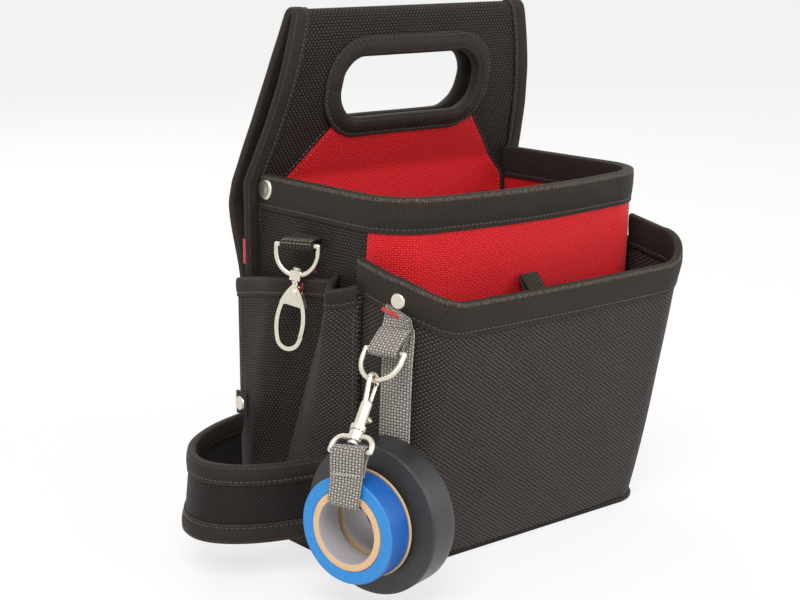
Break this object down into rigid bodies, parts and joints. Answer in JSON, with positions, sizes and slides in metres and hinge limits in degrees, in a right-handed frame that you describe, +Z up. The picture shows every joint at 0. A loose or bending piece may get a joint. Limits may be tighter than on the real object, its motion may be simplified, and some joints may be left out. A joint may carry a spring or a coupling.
{
  "type": "electrician tool pouch",
  "caption": "Open-top nylon tool pouch with a carry handle panel, front pocket, side sleeves, hammer loop, key clip and a strap that holds tape rolls.",
  "frame": {"origin": "on the ground, midway between the side walls and 54 mm in front of the handle panel", "axes": "+Z up, +X to the pouch's right seen from the front, front faces -Y"},
  "size_m": [0.3082, 0.2091, 0.3112],
  "materials": {
    "ballistic_nylon": "matte dark brown-grey ballistic nylon, ribbed weave",
    "pocket_nylon": "matte dark grey ballistic nylon, padded",
    "red_nylon": "deep red woven nylon",
    "red_lining": "thin red nylon lining",
    "black_binding": "black grosgrain binding webbing",
    "black_webbing": "black nylon webbing",
    "grey_webbing": "coarse grey nylon webbing",
    "stiffener_board": "black polyethylene board",
    "satin_nickel": "warm satin nickel plating",
    "black_vinyl": "wound black vinyl tape, satin sides",
    "blue_vinyl": "wound blue vinyl tape",
    "grey_core": "grey-white moulded core",
    "beige_core": "beige cardboard core"
  },
  "bodies": {
    "pouch": {"base_panel": "ballistic_nylon", "base_board": "stiffener_board", "handle_panel": "ballistic_nylon", "back_board": "stiffener_board", "red_panel": "red_nylon", "slip_pocket": "red_lining", "slip_pocket_binding": "black_binding", "hole_binding_front": "black_binding", "hole_binding_rear": "black_binding", "side_binding_left": "black_binding", "side_binding_right": "black_binding", "side_wall_left": "ballistic_nylon", "side_wall_right": "ballistic_nylon", "main_front_wall": "red_nylon", "lining": "red_lining", "main_rim_binding": "black_binding", "front_pocket_panel": "pocket_nylon", "front_pocket_binding": "black_binding", "sleeve_rear_left": "ballistic_nylon", "sleeve_rear_left_binding": "black_binding", "sleeve_front_left": "pocket_nylon", "sleeve_front_left_binding": "black_binding", "sleeve_rear_right": "ballistic_nylon", "sleeve_rear_right_binding": "black_binding", "sleeve_front_right": "pocket_nylon", "sleeve_front_right_binding": "black_binding", "pocket_tab": "black_webbing", "hammer_loop_band": "pocket_nylon", "hammer_loop_bindings": "black_binding", "hammer_loop_tab": "black_webbing", "hammer_loop_rivet": "satin_nickel", "rim_rivets": "satin_nickel", "tape_rivet": "satin_nickel", "key_loop": "black_webbing", "tape_strap_anchor": "grey_webbing"},
    "pocket_tab_ring": {"pocket_tab_ring": "satin_nickel"},
    "key_ring": {"key_ring": "satin_nickel"},
    "key_clip": {"key_clip": "satin_nickel", "key_gate_rivet": "satin_nickel"},
    "key_gate": {"key_gate": "satin_nickel"},
    "tape_hanger": {"tape_strap": "grey_webbing", "tape_ring_tab": "grey_webbing", "snap_eye": "satin_nickel"},
    "tape_ring": {"tape_ring": "satin_nickel"},
    "snap_hook": {"snap_hook": "satin_nickel"},
    "snap_bolt": {"snap_bolt": "satin_nickel"},
    "black_roll": {"black_tape": "black_vinyl", "black_tape_core": "grey_core"},
    "blue_roll": {"blue_tape": "blue_vinyl", "blue_tape_core": "beige_core"}
  },
  "joints": [
    {"name": "tape_strap_swing", "type": "hinge", "parent": "pouch", "child": "tape_hanger", "pos_m": [-0.10965, -0.08747, 0.14906], "axis": [-0.2588, 0.9659, 0], "range_deg": [0, 60]},
    {"name": "tape_ring_swing", "type": "hinge", "parent": "tape_hanger", "child": "tape_ring", "pos_m": [-0.12087, -0.09048, 0.13936], "axis": [-0.2588, 0.9659, 0], "range_deg": [-2, 2]},
    {"name": "snap_swivel", "type": "hinge", "parent": "tape_hanger", "child": "snap_hook", "pos_m": [-0.14924, -0.10241, 0.10397], "axis": [0.6403, 0.3157, 0.7002], "range_deg": [-20, 20]},
    {"name": "snap_bolt_slide", "type": "slide", "parent": "snap_hook", "child": "snap_bolt", "axis": [-0.6403, -0.3157, -0.7002], "range_m": [0, 0.0045], "stiffness_N_per_m": 60, "springref_m": -0.003},
    {"name": "black_roll_spin", "type": "hinge", "parent": "tape_hanger", "child": "black_roll", "pos_m": [-0.12622, -0.09295, 0.0507], "axis": [-0.9659, -0.2588, 0], "continuous": true},
    {"name": "blue_roll_spin", "type": "hinge", "parent": "tape_hanger", "child": "blue_roll", "pos_m": [-0.14747, -0.09864, 0.0507], "axis": [-0.9659, -0.2588, 0], "continuous": true},
    {"name": "key_ring_swing", "type": "hinge", "parent": "pouch", "child": "key_ring", "pos_m": [-0.1146, -0.0045, 0.182], "axis": [-0.5, 0.866, 0], "range_deg": [0, 75]},
    {"name": "key_clip_swivel", "type": "hinge", "parent": "key_ring", "child": "key_clip", "pos_m": [-0.11614, -0.00539, 0.16509], "axis": [0.1423, -0.0385, 0.9891], "continuous": true},
    {"name": "key_gate_hinge", "type": "hinge", "parent": "key_clip", "child": "key_gate", "pos_m": [-0.11758, -0.005, 0.1551], "axis": [0.8613, 0.4973, -0.1045], "range_deg": [0, 20], "stiffness_Nm_per_rad": 0.02, "springref_deg": -20.05},
    {"name": "pocket_tab_ring_swing", "type": "hinge", "parent": "pouch", "child": "pocket_tab_ring", "pos_m": [-0.008, -0.08608, 0.1545], "axis": [1, 0, 0], "range_deg": [-70, 40]}
  ]
}
